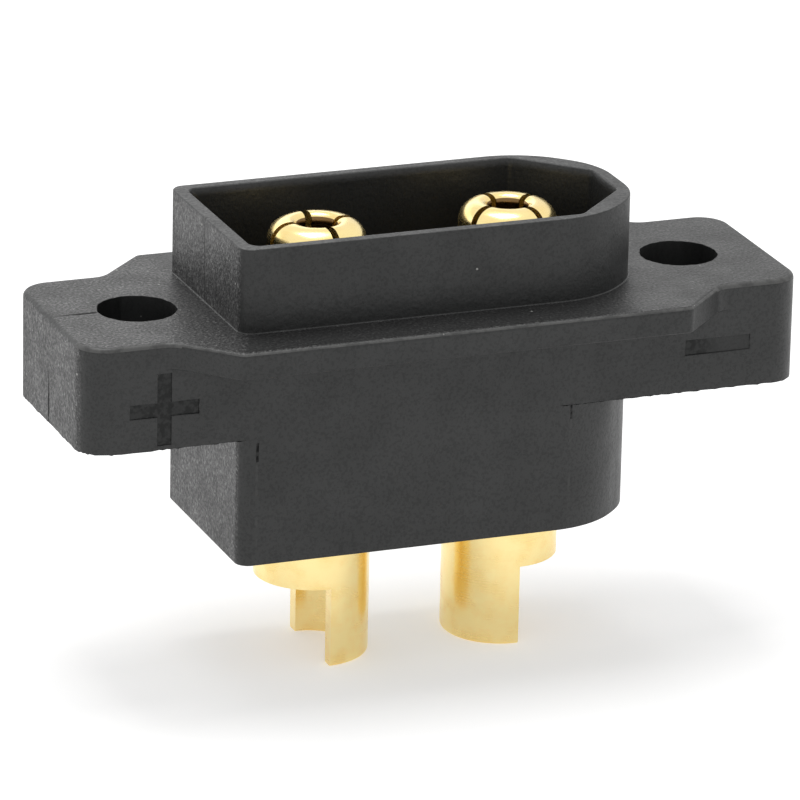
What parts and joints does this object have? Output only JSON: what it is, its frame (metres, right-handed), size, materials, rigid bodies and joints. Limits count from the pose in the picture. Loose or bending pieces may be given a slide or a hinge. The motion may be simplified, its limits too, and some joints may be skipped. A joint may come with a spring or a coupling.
{
  "type": "panel-mount power connector",
  "caption": "Keyed power connector for a panel, with slotted round pins in a socket, a screw flange and solder cups behind.",
  "frame": {"origin": "midway between the two mounting holes, on the upper face of the flange", "axes": "+X from the positive contact to the negative one, +Y to the rear, +Z out of the socket mouth"},
  "size_m": [0.027, 0.0116, 0.0165],
  "materials": {
    "housing_nylon": "black moulded nylon with a fine eroded grain",
    "contact_plating": "satin gold plating on turned brass"
  },
  "bodies": {
    "root": {"housing": "housing_nylon", "positive_contact": "contact_plating", "negative_contact": "contact_plating"}
  },
  "joints": []
}
